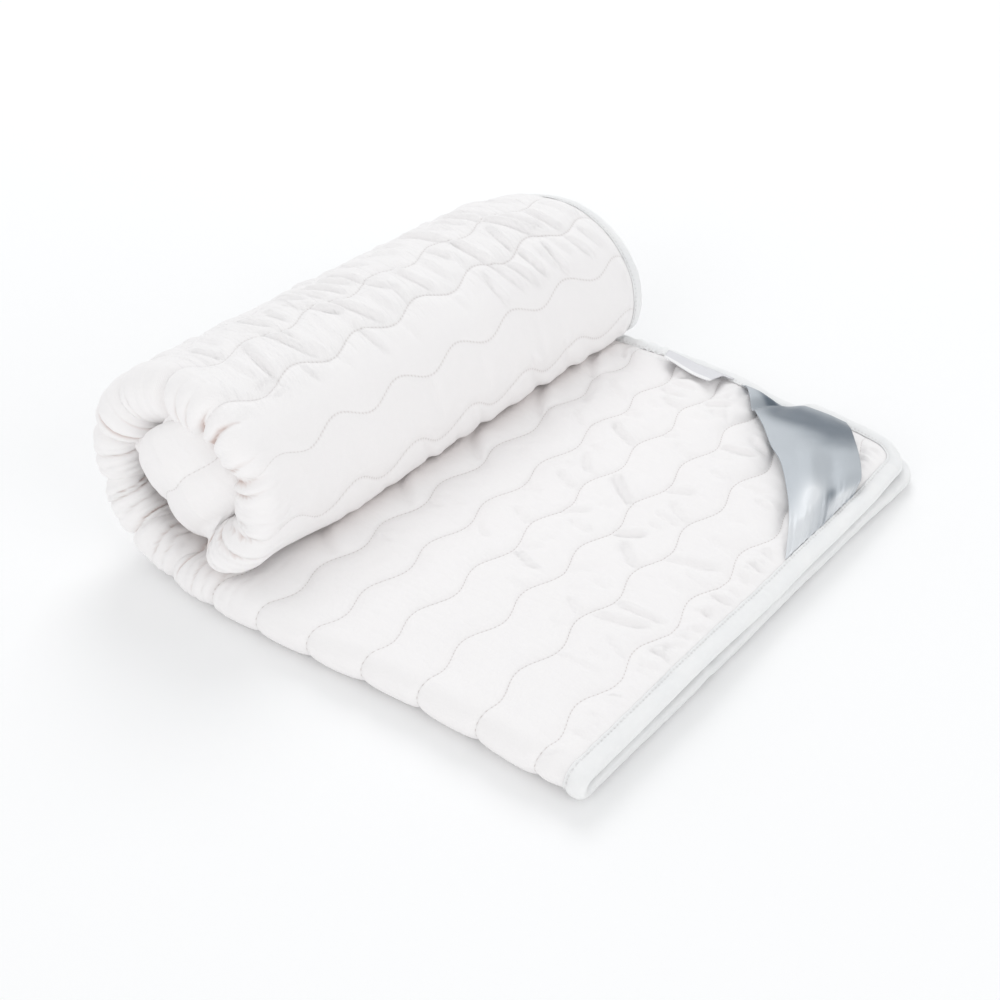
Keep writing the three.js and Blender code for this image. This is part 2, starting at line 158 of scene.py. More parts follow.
# Pushes towards the form that the photograph shows: s and its reach, u and its reach, whether the outer
# layer alone moves, and the way in x, y and z
PUSHES = (
    (0, 48, -HALF_WIDTH, 62, False, (-3.5, -5.0, 0)),
    (642, 24, 0, 60, False, (0, 8.0, 0)),
    (692, 24, 10, 60, False, (6.0, 5.0, 0)),
    (678, 34, 0, np.inf, True, (6.5, 0, 0)),
    (666, 25, 0, np.inf, True, (0, 0, -4.5)),
    (686, 26, 5, 45, True, (0, 0, 4.5)))

# Heights of the face cloth over its layer's middle surface: on a channel, at a seam, under the tape
CROWN = 7.3
VALLEY = 3.9
EDGE = 3.0
# Distance from the edge from which the cloth rises from under the tape
RISE_START = 12.4

# The tape's reach inwards, and the place and the pitch of its sewn row
TAPE_REACH = 13.8
TAPE_ROW = 11.6
TAPE_PITCH = 3.4
# The quilting's stitches, how far from the fold they go, and the usual width of a channel
STITCH_PITCH = 3.2
STITCHED_TO = 434.0
CHANNEL = 44.0


def smooth(t):
    t = np.clip(t, 0, 1)
    return t * t * (3 - 2 * t)


def ramp(x, start, end):
    """0 before the start and 1 past the end, which may be the lower one."""
    return smooth((x - start) / (end - start))


def bell(x, width):
    return np.exp(-((x / width) ** 2))


def arrays(*values):
    return np.broadcast_arrays(*(np.asarray(v, float) for v in values))


def lengths(x, y):
    """The length of a course from its start to each of its points."""
    return np.r_[0, np.cumsum(np.hypot(np.diff(x), np.diff(y)))]


def sample_route():
    """The route as many points on a smooth curve, and the distance along it to each."""
    d = np.hypot(np.diff(ROUTE[:, 0]), np.diff(ROUTE[:, 1]))
    slope = np.diff(ROUTE, axis=0) / d[:, None]
    m = np.empty_like(ROUTE)
    m[0], m[-1] = slope[0], slope[-1]
    m[1:-1] = (slope[:-1] * d[1:, None] + slope[1:] * d[:-1, None]) / (d[1:] + d[:-1])[:, None]
    t = (np.arange(STEPS_PER_ROW) / STEPS_PER_ROW)[None, :, None]
    h, a, b = d[:, None, None], ROUTE[:-1, None], ROUTE[1:, None]
    p = a + (b - a) * smooth(t) + t * (1 - t) * h * ((1 - t) * m[:-1, None] - t * m[1:, None])
    p = np.vstack([p.reshape(-1, 5), ROUTE[-1:]])
    return lengths(p[:, 0], p[:, 1]), p


S, P = sample_route()
LENGTH = S[-1]
RISE = S[DRAWN_IN["row"] * STEPS_PER_ROW]
# The route's direction and its normal
DX, DZ = (np.r_[v[1] - v[0], v[2:] - v[:-2], v[-1] - v[-2]] for v in (P[:, 0], P[:, 1]))
NX, NZ = DZ / np.hypot(DX, DZ), -DX / np.hypot(DX, DZ)


def at(s, col):
    """A column of the route at s, carried on straight past both ends."""
    low = P[0, col] + (P[1, col] - P[0, col]) / (S[1] - S[0]) * (s - S[0])
    high = P[-1, col] + (P[-1, col] - P[-2, col]) / (S[-1] - S[-2]) * (s - S[-1])
    return np.where(s < 0, low, np.where(s > LENGTH, high, np.interp(s, S, P[:, col])))


def place(s, u, h):
    """The place of a point of the folded and rolled mat, as in the CAD solid."""
    s, u, h = arrays(s, u, h)
    q = LAYER_RISE * np.pi / 2
    a = np.clip(u / LAYER_RISE, -np.pi / 2, np.pi / 2)
    bend = at(s, 2) + LAYER_RISE
    beyond = np.maximum(np.abs(u) - q, 0) / (HALF_WIDTH - q)
    y = bend - (LAYER_RISE + h) * np.cos(a) + (at(s, 3) - bend) * beyond
    off = -(LAYER_RISE + h) * np.sin(a) * at(s, 4) / FULL_THICK
    drawn = np.clip((y - DRAWN_IN["start"]) / (DRAWN_IN["end"] - DRAWN_IN["start"]), 0, 1) ** 2
    k = 1 - DRAWN_IN["amount"] * smooth((s - RISE) / DRAWN_IN["lead"]) * drawn
    x = DRAWN_IN["x"] + (at(s, 0) + off * np.interp(s, S, NX) - DRAWN_IN["x"]) * k
    z = DRAWN_IN["z"] + (at(s, 1) + off * np.interp(s, S, NZ) - DRAWN_IN["z"]) * k
    return np.stack([x, y, z], -1)


def across(s, u):
    """y of a point of the mat on its middle surface."""
    return place(s, u, 0)[..., 1]


def along_dome(s):
    """0 where the dome starts, 1 where it ends."""
    return np.clip((s - DOME["start"]) / (DOME["end"] - DOME["start"]), 0, 1)


def dome(s, u, h):
    """The place of each point on the soft dome, and how far it belongs there."""
    d = DOME
    share = ramp(s, d["start"] - 4, d["start"] + 16) * ramp(s, d["end"] + 22, d["end"] - 4)
    share = share * ramp(np.abs(u), 112, 60)
    run = along_dome(s) * np.pi - np.pi / 2
    turn = np.clip(u / d["reach"], -1, 1) * np.pi / 2
    rise = h - d["crown"]
    up = (d["up"] + d["spread"] * rise) * np.sin(run)
    side = -(d["wide"] + d["spread"] * rise) * np.sin(turn)
    roundness = 0.5 - 0.16 * ramp(turn, -0.4, 0.8)
    bulge = (np.maximum(np.cos(run), 0) * np.maximum(np.cos(turn), 0)) ** roundness
    y = d["base"] - (d["deep"] + rise) * bulge + np.maximum(np.abs(u) - d["reach"], 0)
    y = y + d["tilt"] * np.maximum(side, 0)
    x = d["x"] + up * DOME_UP[0] + side * DOME_SIDE[0]
    z = d["z"] + up * DOME_UP[1] + side * DOME_SIDE[1]
    return np.stack([x, y, z], -1), share[..., None]


def form(s, u, h):
    """The mat as it lies: folded and rolled, with the dome in the middle of the roll."""
    s, u, h = arrays(s, u, h)
    p = place(s, u, h)
    bulge, share = dome(s, u, h)
    p = p + (bulge - p) * share
    # the last leg is drawn back behind the dome
    p[..., 1] += DOME["drawn_back"] * ramp(s, DOME["end"] - 4, DOME["end"] + 10) * bell(u, 60)
    # the lower layer reaches a little farther than the upper one, most of all at the far corner
    p[..., 0] += ramp(s, 90, 0) * ramp(u, 30, 150) * (1.0 + 3.0 * ramp(u, 330, 430))
    p[..., 2] -= 2.4 * ramp(s, 34, 4) * ramp(-u, 130, 190)
    # the band's crease pulls the far long edge in
    p -= (0, 8.0, 2.5) * (ramp(s, 172, 110) * ramp(s, 97, 111) * ramp(-u, 385, 445))[..., None]
    # the bound end of the roll's front stands a little proud
    proud = ramp(s, 505, 595) * ramp(s, 735, 695) * ramp(np.abs(u), 320, 440)
    p[..., 1] += 7 * proud
    p[..., 0] += 3 * proud * ramp(s, 590, 650)
    # under the roll the skin bulges down to the flat part
    p += (3.0, 0, -6.0) * (bell(s - 686, 14) * ramp(u, 30, 110))[..., None]
    outer = ramp(u, -24, 16)
    for at_s, along, at_u, reach, outer_only, move in PUSHES:
        pushed = bell(s - at_s, along) * bell(u - at_u, reach) * (outer if outer_only else 1)
        p += pushed[..., None] * np.array(move)
    return p


# Noise
def lattice(i, j, seed):
    """A fixed value from -1 to 1 for each pair of whole numbers."""
    n = (i.astype(np.int64) * 374761393 + j.astype(np.int64) * 668265263 + seed * 982451653) & 0x7FFFFFFF
    n = ((n ^ (n >> 13)) * 1274126177) & 0x7FFFFFFF
    n = ((n ^ (n >> 16)) * 60493) & 0x7FFFFFFF
    return (n & 0xFFFF) / 32767.5 - 1.0


def noise(x, y=0.0, seed=0):
    """Smooth noise from -1 to 1."""
    x, y = arrays(x, y)
    i, j = np.floor(x), np.floor(y)
    fx, fy = (t * t * t * (t * (6 * t - 15) + 10) for t in (x - i, y - j))
    a, b = lattice(i, j, seed), lattice(i + 1, j, seed)
    c, d = lattice(i, j + 1, seed), lattice(i + 1, j + 1, seed)
    return (a * (1 - fx) + b * fx) * (1 - fy) + (c * (1 - fx) + d * fx) * fy


# The quilting
def wave(s, u):
    """How far a sewn line swings from its straight course."""
    y = across(s, u)
    top = np.interp(y, FALLS_TOP, np.arange(len(FALLS_TOP)))
    roll = np.interp(y + 0.16 * np.clip(626 - s, -20, 90), FALLS_ROLL, np.arange(len(FALLS_ROLL)))
    share = ramp(u, -10, 10)
    swing = -np.sin(2 * np.pi * top) * (1 - share) - np.sin(2 * np.pi * roll) * share
    return WAVE * swing * ramp(np.abs(u), 447, 433)


# How far each seam is shifted at the fold
SEAM_AT_FOLD = {11: -10, 12: -8, 14: 7, 15: -2, 16: -4, 18: 17}
# How far the seam over the dome is shifted, for distances from the fold
DOME_SEAM = np.array([(-95, 0), (-46, 19), (-30, 13), (-10, 6), (10, 3), (40, 5), (90, 0)], float)


def seam(k, u):
    """The course of a sewn line."""
    pulled = SEAM_AT_FOLD.get(k, 0) * bell(u - 2, 26)
    if k == DOME_SEAM_ROW:
        pulled = np.interp(u, DOME_SEAM[:, 0], DOME_SEAM[:, 1])
    return SEAMS[k] + wave(SEAMS[k], u) + pulled


def seam_runs():
    """The length of each sewn line from one long edge to every u of a fine row."""
    u = np.linspace(-HALF_WIDTH, HALF_WIDTH, 3601)
    return u, [lengths(seam(k, u), u) for k in range(len(SEAMS))]


RUN_AT, RUNS = seam_runs()


def edge_distance(s, u):
    """How far a point of the mat is from the pad's edge."""
    end = np.minimum(s, LENGTH - s) - TAPE_MARGIN
    side = HALF_WIDTH - TAPE_MARGIN - np.abs(u)
    corner = CORNER_RADIUS - np.hypot(CORNER_RADIUS - end, CORNER_RADIUS - side)
    return np.where((end >= CORNER_RADIUS) | (side >= CORNER_RADIUS), np.minimum(end, side), corner)


def half_width(s):
    """The pad's edge at s, as a distance from the fold."""
    end = np.minimum(s, LENGTH - s) - TAPE_MARGIN
    full = HALF_WIDTH - TAPE_MARGIN
    c = np.clip(CORNER_RADIUS - end, 0, CORNER_RADIUS)
    return full - CORNER_RADIUS + np.sqrt(np.maximum(CORNER_RADIUS**2 - c**2, 0))


def rolled(s):
    """0 on the flat part, 1 where the mat is rolled."""
    return ramp(s, RISE - 30, RISE + 20)


def loose(s, u):
    """How far a whole layer stands off its place, outwards."""
    y = across(s, u)
    flat = 1 - rolled(s)
    stand = 1.0 * noise(s / 55, y / 70, 3) * (0.4 + 0.6 * flat) * ramp(np.abs(u), 20, 80)
    lip = 1.6 * noise(y / 46, 0.4, 5) - 1.2 * bell(y - 95, 26) + 1.5 * bell(y - 130, 22)
    return stand + flat * bell(s, 34) * (lip * (u < 0) - 2.6 * bell(y - 97, 9) * (u > 0))


def creases(s, y, rows):
    """Troughs along short lines, each with a low ridge beside it."""
    h = np.zeros(np.shape(s))
    for s0, y0, s1, y1, width, depth in rows:
        near = (s > min(s0, s1) - 14) & (s < max(s0, s1) + 14)
        near = near & (y > min(y0, y1) - 18) & (y < max(y0, y1) + 18)
        a, b = s[near] - s0, y[near] - y0
        length = math.hypot(s1 - s0, y1 - y0)
        ds, dy = (s1 - s0) / length, (y1 - y0) / length
        along = (a * ds + b * dy) / length
        side = a * -dy + b * ds
        side = side + 0.09 * length * (4 * along * (1 - along) - 0.6)
        w = width * (0.75 + 0.35 * np.sin(np.pi * np.clip(along, 0, 1)))
        fade = smooth(along / 0.34 + 0.45) * smooth((1 - along) / 0.34 + 0.45)
        h[near] += depth * fade * (0.75 * bell(side - 1.9 * w, 1.5 * w) - 1.1 * bell(side, w))
    return h


def scattered_creases(count, s0, s1, seed):
    """More of the same for the parts that the photograph doesn't show."""
    rng = np.random.default_rng(seed)
    s = rng.uniform(s0, s1 - 14, count)
    y = rng.uniform(-30, 400, count)
    length = rng.uniform(12, 30, count)
    lean = rng.normal(0.28, 0.25, count)
    width = rng.uniform(2.2, 3.6, count)
    depth = rng.uniform(0.3, 0.9, count)
    return np.stack([s, y, s + length * np.cos(lean), y + length * np.sin(lean), width, depth], -1)


CREASES_BACK = np.vstack([scattered_creases(150, 352, 520, 5), scattered_creases(40, 700, 800, 6)])


def gathers(s, u):
    """Depth of sharp tucks across the folded edge; each has its own depth and length."""
    x = s + 0.16 * u + 3.6 * noise(u / 16, s / 23, 43) + 1.2 * noise(u / 5, s / 9, 44)
    place_in = np.interp(x, GATHERS, np.arange(len(GATHERS)))
    k = np.round(place_in)
    depth, length, outer = (0.5 + 0.5 * lattice(k, k * 0 + n, 45) for n in (1, 2, 3))
    gap = np.interp(x, (GATHERS[:-1] + GATHERS[1:]) / 2, np.diff(GATHERS))
    size = np.clip(gap * 0.42, 1.8, 4.6) * (0.25 + 1.35 * depth**1.6)
    front = ramp(s, 632, 652) * ramp(s, 722, 702)
    inward = bell(u + 15, 14 + 24 * length)
    outward = bell(u + 15, 17 + 9 * outer + front * (6 + 24 * length))
    return size * (1 - np.abs(np.sin(np.pi * place_in)) ** 0.55) * np.where(u < -15, inward, outward)


def puffs(s, u, y, roll, share, near):
    """The sewn channels: a crown between each two seams."""
    outer = ramp(u, -4, 4)
    wall = roll * outer * ramp(s, 596, 612) * ramp(s, 664, 656)
    crown = CROWN + 0.7 * (1 - roll) + 0.5 * noise(s / 30, y / 45, 11) + 0.5 * wall
    valley = VALLEY - 0.4 * (1 - outer) + 2.2 * wall + 1.9 * (1 - roll) * bell(u, 18)
    puff = 1 - np.abs(2 * share - 1) ** (2.7 + 0.9 * roll)
    puff = puff * (0.92 + 0.08 * noise(y / 21, np.floor(s / 20), 12))
    h = valley + (crown - valley) * puff
    return h - (0.6 - 0.38 * roll) * bell(near, 1.5)


def wrinkles(s, u, y, roll, near, held):
    """Creases, fading where a seam holds the cloth, and fine waves that lean along the roll."""
    flat = np.where(u < 0, creases(s, y, CREASES_TOP) * (1 - roll), 0)
    skin = np.where(u > 0, creases(s, y, CREASES_ROLL) + creases(s, y, CREASES_BACK), 0)
    skin = skin * ramp(s, 340, 360) * (1 - 0.55 * ramp(s, 655, 667))
    h = held * ((2.5 + 1.2 * ramp(s, 40, 32)) * flat + 2.3 * skin)
    lean = 0.3
    a = y * np.cos(lean) - s * np.sin(lean)
    b = s * np.cos(lean) + y * np.sin(lean)
    bend = 3.0 * noise(a / 40, b / 35, 21)
    fine = noise((a + bend) / 5.2, b / 22, 22) * smooth(near / 4)
    size = 0.55 * roll * ramp(u, -4, 4) * ramp(s, 604, 590) + 0.25 * (1 - roll) * ramp(y, 20, 100)
    return h + fine * (size + 0.12 * roll + 0.3 * ramp(s, 706, 714))


def edge_puckers(s, u, y, e, roll, held):
    """The edges are gathered where the tape is sewn on."""
    run = np.where(HALF_WIDTH - np.abs(u) < np.minimum(s, LENGTH - s), s, y)
    tucks = noise(run / 5.2 + 0.6 * noise(run / 16, e / 18, 33), e / 26, 31)
    corner = (u < 0) * ramp(s, 70, 50) * ramp(y, 330, 350)
    h = (1.9 - 0.8 * roll + 0.3 * corner) * tucks * bell(e - 21, 11 + 6 * corner)
    hatch = (1 - np.abs(noise((run + 0.5 * e) / 7.5, e / 34, 34))) ** 5
    return h - 1.9 * (u < 0) * ramp(s, 52, 40) * hatch * bell(e - 25, 11) * (0.5 + 0.5 * held)


def folded_edge(s, u, near):
    """The swollen and gathered fold at the front of the roll."""
    ring = ramp(s, 270, 306)
    outside = ring * (1 - ramp(s, 706, 716))
    left = ramp(s, 360, 390) * ramp(s, 520, 480)
    top = ramp(s, 455, 495) * ramp(s, 612, 572)
    turned = ramp(s, 600, 650) * ramp(s, 716, 686)
    low = ramp(s, 664, 688)
    wide = ramp(s, 500, 540) * ramp(s, 640, 620)
    h = outside * (1.0 + 5 * left + 12 * top + (4 + 9 * low) * turned) * bell(u + 15, 19)
    h = h - (1.35 - 0.35 * wide) * outside * gathers(s, u) * (0.75 + 0.25 * ramp(s, 330, 370))
    groove = bell(u, 13) * (0.5 + 1.6 * outside) + 3.5 * ring * bell(s - 634, 9) * bell(u - 3, 16)
    return h - groove * bell(near, 3.6)


def thinned(e):
    """How much of its height is left to the cloth close to its edge."""
    return 0.35 + 0.65 * np.sqrt(np.clip(e / 4.5, 0, 1))


def relief(s, u, share, gap):
    """Height of the face cloth over the layer's middle surface. share runs from 0 to 1 across a channel."""
    y, e, roll = across(s, u), edge_distance(s, u), rolled(s)
    near = np.minimum(share, 1 - share) * gap
    held = 0.3 + 0.7 * smooth(near / 5)
    h = puffs(s, u, y, roll, share, near) + wrinkles(s, u, y, roll, near, held)
    h = h + edge_puckers(s, u, y, e, roll, held)
    h = EDGE + (h - EDGE) * ramp(e, RISE_START, RISE_START + 15)
    return h * thinned(e) + folded_edge(s, u, near)


# Meshes

# Where the mat's own axes lie in the shared frame
OFFSET = np.array([219.104, -176.950, 0.0])


def to_frame(points):
    """From the pad's own frame in millimetres to the shared frame in metres."""
    return (np.asarray(points) + OFFSET) / 1000.0


def put(name, data):
    o = bpy.data.objects.new(name, data)
    bpy.context.scene.collection.objects.link(o)
    return o


def new_object(name, verts, faces, uv=None, **attributes):
    """A smooth mesh. Each attribute holds one value for each vertex."""
    mesh = bpy.data.meshes.new(name)
    mesh.from_pydata(to_frame(verts).tolist(), [], faces)
    if uv is not None:
        layer = mesh.uv_layers.new(name="UVMap")
        loops = np.empty(len(mesh.loops), dtype=np.int32)
        mesh.loops.foreach_get("vertex_index", loops)
        layer.data.foreach_set("uv", np.asarray(uv, dtype=np.float32)[loops].ravel())
    for key, values in attributes.items():
        a = mesh.attributes.new(key, "FLOAT", "POINT")
        a.data.foreach_set("value", np.asarray(values, dtype=np.float32))
    mesh.polygons.foreach_set("use_smooth", np.ones(len(mesh.polygons), dtype=bool))
    mesh.update()
    return put(name, mesh)


def face_outward(o):
    """Turn the faces of a closed piece outwards, and give the piece back."""
    bm = bmesh.new()
    bm.from_mesh(o.data)
    bmesh.ops.recalc_face_normals(bm, faces=bm.faces)
    bm.to_mesh(o.data)
    bm.free()
    return o


# The grid's rows as shares of a channel's width: on the first channels, the others and the two ends
_half = np.array([0.022, 0.055, 0.095, 0.14, 0.19, 0.245, 0.305, 0.37, 0.435])
SHARES = np.r_[0, _half, 0.5, 1 - _half[::-1]]
CLOSE_SHARES = np.r_[0, 0.022, 0.048, np.linspace(0.075, 0.925, 34), 0.94, 0.955, 0.978]
END_SHARES = np.r_[0, 0.03, 0.07, 0.12, np.arange(18, 73, 6) / 100, 0.775, 0.825, 0.87, 0.915, 0.95, 0.978]
FIRST_CLOSE = 5
# Rows and columns of one block, whose faces are all of one size
BLOCK = 4


def pad_rows():
    """Rows of the pad's grid: channel, share across it."""
    last = len(SEAMS) - 1
    rows = [(-1, t) for t in END_SHARES]
    for k in range(last):
        rows += [(k, t) for t in (SHARES if k < FIRST_CLOSE else CLOSE_SHARES)]
    return rows + [(last, 1 - t) for t in END_SHARES[::-1]]


def row_s(k, t, u):
    """The row's course, and the channel's share and width there."""
    last = len(SEAMS) - 1
    lo = seam(k, u) if k >= 0 else np.full_like(u, TAPE_MARGIN)
    hi = seam(k + 1, u) if k < last else np.full_like(u, LENGTH - TAPE_MARGIN)
    share = np.full_like(u, t)
    if k < 0:
        share = 0.5 + 0.5 * share
    elif k == last:
        share = 0.5 * share
    return lo + (hi - lo) * t, share, hi - lo


def pad_columns():
    """The grid's columns: close together at the fold and at the edges."""
    near = np.r_[np.arange(0, 30, 2.0), np.arange(30, 60, 2.4)]
    rest = np.linspace(60, HALF_WIDTH - TAPE_MARGIN - 20, 166)
    edge = HALF_WIDTH - TAPE_MARGIN - np.array([16.5, 13, 9, 5, 2, 0])
    half = np.r_[near, rest, edge]
    return np.r_[-half[:0:-1], half]


def cell_sizes(s, u, by_seam):
    """How many rows and columns of the grid go into one face, for each block: fine only where it shows."""
    fold, face, edge = np.abs(u) < 50, u < 0, np.abs(u) > HALF_WIDTH - 40
    skin = (u > 0) & (s > 350) & (s < 706)
    size = np.full(s.shape + (2,), BLOCK)
    size[skin] = (4, 1)
    size[skin & (s > 372) & (s < 486)] = (4, 2)
    size[edge & (s > 350) & (s < 800)] = (4, 2)
    size[skin & by_seam] = (2, 1)
    size[edge & (s < 60)] = (1, 1)
    size[fold] = (1, 1)
    size[fold & (s > 716)] = (2, 1)
    size[fold & (s > 820)] = (4, 4)
    size[face & (s < 372)] = (1, 1)
    size[face & (s > 262) & (s < 372) & ~fold & ~by_seam] = (2, 1)
    size[fold & (s > 716) & by_seam] = (1, 1)
    return size


def grid_rim(n, m):
    """The border of a grid of n rows and m columns, once round."""
    rim = [(0, j) for j in range(m)] + [(i, m - 1) for i in range(1, n)]
    return rim + [(n - 1, j) for j in range(m - 2, -1, -1)] + [(i, 0) for i in range(n - 2, 0, -1)]


def cells(n, m, sizes, reach):
    """Each face as its first and last row and column. A block of the grid has faces of one size."""
    found = []
    for i0 in range(0, n - 1, reach):
        for j0 in range(0, m - 1, reach):
            a, b = sizes[i0 // reach, j0 // reach]
            i1, j1 = min(i0 + reach, n - 1), min(j0 + reach, m - 1)
            for i in range(i0, i1, a):
                found += [(i, min(i + a, i1), j, min(j + b, j1)) for j in range(j0, j1, b)]
    return found


def rings(ids, found, rim):
    """Each face's corners in order, with those that its neighbours have on its sides."""
    kept = np.zeros(ids.shape, bool)
    for i0, i1, j0, j1 in found:
        kept[[i0, i0, i1, i1], [j0, j1, j0, j1]] = True
    kept[tuple(np.transpose(rim))] = True
    faces = []
    for i0, i1, j0, j1 in found:
        ring = [(i0, j) for j in range(j0, j1)] + [(i, j1) for i in range(i0, i1)]
        ring += [(i1, j) for j in range(j1, j0, -1)] + [(i, j0) for i in range(i1, i0, -1)]
        faces.append([int(ids[corner]) for corner in ring if kept[corner]])
    return faces


def block_middles(count):
    """The row or column in the middle of each block."""
    return np.minimum(np.arange(0, count - 1, BLOCK) + BLOCK // 2, count - 1)


def painted(s, u, share, run):
    """What the pad's material reads: painted shade along the sewn lines, stitches counted along them, painted
    warm shade in tucks and crevices and beside the roll, fine wrinkles.
    """
    roll = rolled(s)
    lost = ramp(s, 300, 360) * ramp(s, 712, 700) * bell(u + 4, 16)
    # painted shade along the sewn lines' grooves
    groove = ((share == 0) | (share == 1)) * ramp(edge_distance(s, u), FLAT_STRIP - 8, FLAT_STRIP)
    groove = groove * (1 - 0.8 * lost) * (0.86 - 0.16 * roll)
    # painted warm shade in the gathers' tucks, in the roll's throat, round the dome's rim and where the roll
    # meets the flat part
    painted_crevice_shade = ramp(s, 270, 330) * ramp(s, 712, 706) * ramp(gathers(s, u), 0.9, 3.5)
    painted_throat_shade = ramp(s, 380, 410) * ramp(s, 700, 680) * ramp(-u, 36, 50) * ramp(u, -150, -90)
    on_dome = along_dome(s) * (1 - np.clip(np.abs(u) / DOME["reach"], 0, 1))
    painted_dome_rim_shade = ramp(s, 700, 708) * ramp(np.abs(u), 112, 72) * ramp(on_dome, 0.05, 0)
    painted_contact_shadow = ramp(s, 262, 288) * ramp(s, 350, 320) * ramp(-u, 40, 100)
    painted_crevice_shade = np.max([painted_crevice_shade, 0.8 * painted_throat_shade, 0.8 * painted_dome_rim_shade, 0.2 * painted_contact_shadow], axis=0)
    crumple = roll * ramp(u, 4, 12) * ramp(s, 606, 592) + 0.3 * (1 - roll) + 0.5 * ramp(s, 706, 714)
    return dict(groove=groove, stitch=run / STITCH_PITCH, painted_crevice_shade=painted_crevice_shade, crumple=crumple)


def build_pad():
    """Both sides of the pad: the face cloth, and the cloth where its two layers lie on each other."""
    rows, cols = pad_rows(), pad_columns()
    n, m = len(rows), len(cols)
    s, share, gap, u, run = (np.empty((n, m)) for _ in range(5))
    for i, (k, t) in enumerate(rows):
        line, _, _ = row_s(k, t, np.zeros(1))
        u[i] = cols * (half_width(line[0]) / (HALF_WIDTH - TAPE_MARGIN))
        s[i], share[i], gap[i] = row_s(k, t, u[i])
        run[i] = np.interp(u[i], RUN_AT, RUNS[int(np.clip(k + round(t), 0, len(SEAMS) - 1))])
    stand = loose(s, u)
    outer = form(s, u, relief(s, u, share, gap) + stand)
    outer[..., 2] = np.maximum(outer[..., 2], 0.0)
    e = edge_distance(s, u)
    filling = 1.6 * ramp(e, FLAT_STRIP, FLAT_STRIP + 16) * (1 - (2 * share - 1) ** 2)
    inner = form(s, u, -(EDGE + filling) * thinned(e) + stand)

    middle = np.ix_(block_middles(n), block_middles(m))
    fine = cell_sizes(s[middle], u[middle], np.abs(share[middle] - 0.5) > 0.44)
    coarse = np.full((n, m, 2), 2 * BLOCK)
    index = np.arange(n * m).reshape(n, m)
    rim = grid_rim(n, m)
    faces = rings(index, cells(n, m, fine, BLOCK), rim)
    faces += rings(index + n * m, cells(n, m, coarse, 2 * BLOCK), rim)
    for a, b in zip(rim, rim[1:] + rim[:1]):
        faces.append([int(x) for x in (index[a], index[b], index[b] + n * m, index[a] + n * m)])

    # the vertices that no face uses are left out
    verts = np.vstack([outer.reshape(-1, 3), inner.reshape(-1, 3)])
    used = np.zeros(len(verts), bool)
    used[[corner for face in faces for corner in face]] = True
    renumber = np.cumsum(used) - 1
    faces = [renumber[face].tolist() for face in faces]
    uv = np.stack([s / 1000, u / 1000], -1).reshape(-1, 2)
    plain = np.zeros(n * m)
    looks = {key: np.r_[values.ravel(), plain][used] for key, values in painted(s, u, share, run).items()}
    return face_outward(new_object("quilted_pad", verts[used], faces, uv=np.vstack([uv, uv])[used], **looks))


def rim_points(step):
    """Points along the pad's outline: s, u and the outward direction in both."""
    full, r = HALF_WIDTH - TAPE_MARGIN, CORNER_RADIUS
    lo, hi = TAPE_MARGIN, LENGTH - TAPE_MARGIN
    fold = np.arange(-30, 30.1, 2.0)
    side = np.arange(34, full - r - step / 2, step)
    line = np.r_[-side[::-1], fold, side]
    along = np.arange(lo + r + step, hi - r - step / 2, step)

    def corner(s, u, first):
        """A quarter turn about the corner's centre, from the first angle down."""
        turn = first - np.linspace(0, np.pi / 2, 12)
        return [(s + r * math.cos(t), u + r * math.sin(t), math.cos(t), math.sin(t)) for t in turn]

    points = [(lo, u, -1.0, 0.0) for u in line] + corner(lo + r, full - r, np.pi)
    points += [(s, full, 0.0, 1.0) for s in along] + corner(hi - r, full - r, np.pi / 2)
    points += [(hi, u, 1.0, 0.0) for u in line[::-1]] + corner(hi - r, r - full, 0)
    points += [(s, -full, 0.0, -1.0) for s in along[::-1]] + corner(lo + r, r - full, -np.pi / 2)
    return np.array(points)


# The tape's section: how far out from the pad's edge, and height. One half of its skin, then its hollow side
TAPE_SKIN = [(-TAPE_REACH, 3.9), (1 - TAPE_REACH, 4.5), (-TAPE_ROW, 4.0), (1.2 - TAPE_ROW, 4.8), (-7.5, 5.2),
             (-4.5, 4.9), (-2.2, 4.1), (-0.5, 2.7)]
TAPE_HOLLOW = [(-TAPE_REACH, -3.6), (-5.0, -3.5), (-1.4, -2.3), (-1.4, 2.3), (-5.0, 3.5), (-TAPE_REACH, 3.6)]
# The texture of the lower half is shifted, so that the painted shade in the dips of the sewn row is on the
# upper half alone
TEXTURE_SHIFT = 40.0


def build_binding():
    """The tape round the pad's edge: rippled, most of all beside the label, and drawn in at each stitch."""
    rim = rim_points(1.7)
    run = lengths(rim[:, 0], rim[:, 1])
    section = TAPE_SKIN + [(0.5, 0.0)] + [(out, -h) for out, h in TAPE_SKIN[::-1]] + TAPE_HOLLOW
    by_label = bell(rim[:, 0] - 268, 42) * (rim[:, 1] < -440)
    s, u, ds, du = rim.T
    verts, uv = [], []
    for out, h in section:
        skin = (abs(h) > 3.7 or out > -1) * (1 if h >= 0 else -1)
        ripple = skin * (0.35 + 1.5 * by_label) * noise(run / 3.6, out / 7, 51)
        ripple = ripple + skin * 0.3 * noise(run / 17, out / 12, 52)
        drawn = (0.5 + 0.5 * np.cos(run / TAPE_PITCH * 2 * np.pi)) ** 2
        ripple = ripple - 0.3 * skin * drawn * bell(out + TAPE_ROW, 1.1)
        ragged = 0.25 * noise(run / 2.6, h, 53) * (out < 0.5 - TAPE_REACH)
        a, b = s + ds * (out + ragged), u + du * (out + ragged)
        verts.append(form(a, b, h + ripple + loose(np.clip(a, 2, LENGTH), b)))
        over = (out + TEXTURE_SHIFT * (h < 0)) / 1000
        uv.append(np.stack([run / 1000, np.full_like(run, over)], -1))
    verts, uv = np.array(verts), np.array(uv)
    index = np.arange(verts[..., 0].size).reshape(verts.shape[:2])
    beside = np.roll(index, -1, 0)
    faces = np.stack([index, np.roll(index, -1, 1), np.roll(beside, -1, 1), beside], -1).reshape(-1, 4)
    return face_outward(new_object("edge_tape", verts.reshape(-1, 3), faces.tolist(), uv=uv.reshape(-1, 2)))


